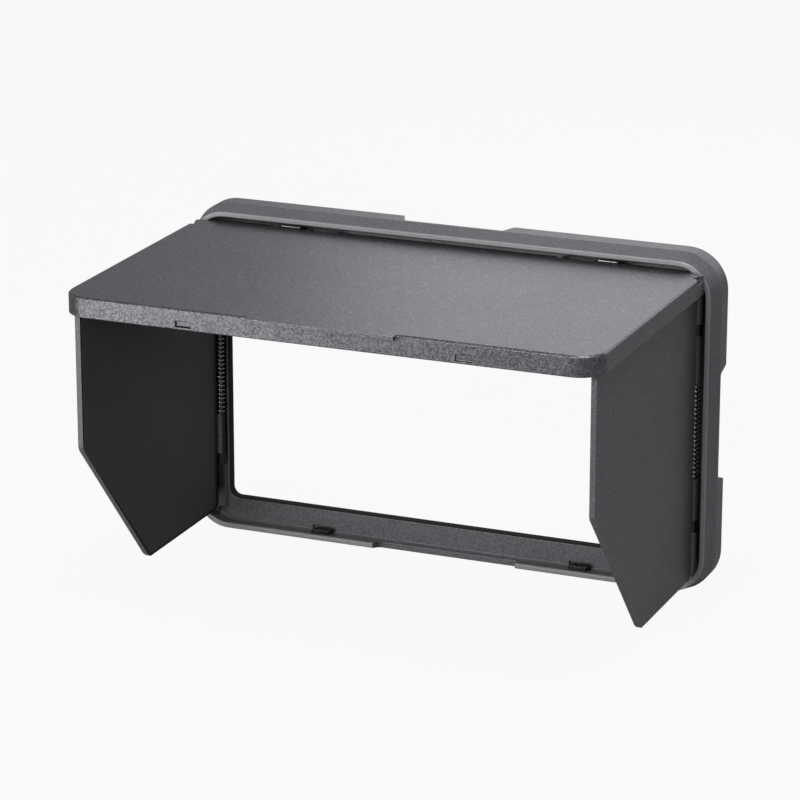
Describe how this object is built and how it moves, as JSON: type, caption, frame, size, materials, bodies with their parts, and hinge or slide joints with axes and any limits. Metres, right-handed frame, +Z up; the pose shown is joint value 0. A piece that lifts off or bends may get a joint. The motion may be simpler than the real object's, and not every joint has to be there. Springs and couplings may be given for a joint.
{
  "type": "fold-out monitor sun hood",
  "caption": "Clip-over sun hood for a small field monitor: rounded frame with an open window, a wide top flap and two slanted side flaps on sprung hinges, standing open.",
  "frame": {"origin": "middle of the plane that the monitor's face seats on, the rear face of the foam strip round the window", "axes": "+X to the right as seen from the hood's mouth, +Y from the mouth back towards the monitor, +Z up"},
  "size_m": [0.157, 0.0976, 0.097],
  "materials": {
    "frame_plastic": "fine-grained dark grey plastic with a slight metallic fleck",
    "flap_plastic": "fine-grained dark grey plastic with a slight metallic fleck",
    "black_plastic": "smooth black plastic",
    "black_lining": "flat black glare-killing sheet",
    "black_foam": "black foam strip",
    "pin_steel": "drawn steel pin",
    "spring_steel": "dark drawn spring wire"
  },
  "bodies": {
    "frame": {"frame": "frame_plastic", "window_gasket": "black_foam", "latch_hook_left": "black_plastic", "latch_hook_right": "black_plastic", "top_pin_left": "pin_steel", "top_pin_right": "pin_steel", "top_spring_left": "spring_steel", "top_spring_right": "spring_steel", "left_hinge_pin": "pin_steel", "left_spring": "spring_steel", "left_collar_lower": "black_plastic", "left_collar_upper": "black_plastic", "right_hinge_pin": "pin_steel", "right_spring": "spring_steel", "right_collar_lower": "black_plastic", "right_collar_upper": "black_plastic"},
    "top_flap": {"top_flap": "flap_plastic", "top_rim_front": "flap_plastic", "top_rim_left": "flap_plastic", "top_rim_right": "flap_plastic", "top_rim_corner_left": "flap_plastic", "top_rim_corner_right": "flap_plastic", "top_flap_lining": "black_lining"},
    "left_flap": {"left_flap": "flap_plastic", "left_flap_lining": "black_lining"},
    "right_flap": {"right_flap": "flap_plastic", "right_flap_lining": "black_lining"}
  },
  "joints": [
    {"name": "left_flap_fold", "type": "hinge", "parent": "frame", "child": "left_flap", "pos_m": [-0.0715, -0.00305, 0], "axis": [0, 0, 1], "range_deg": [0, 90], "stiffness_Nm_per_rad": 0.004, "springref_deg": -34.38, "deforming": ["left_spring"]},
    {"name": "right_flap_fold", "type": "hinge", "parent": "frame", "child": "right_flap", "pos_m": [0.0727, -0.00625, 0], "axis": [0, 0, -1], "range_deg": [0, 90], "stiffness_Nm_per_rad": 0.004, "springref_deg": -34.38, "deforming": ["right_spring"]},
    {"name": "top_flap_fold", "type": "hinge", "parent": "frame", "child": "top_flap", "pos_m": [0, -0.0062, 0.04165], "axis": [1, 0, 0], "range_deg": [0, 2.1], "stiffness_Nm_per_rad": 0.02, "springref_deg": -51.57, "deforming": ["top_spring_left", "top_spring_right"]}
  ]
}
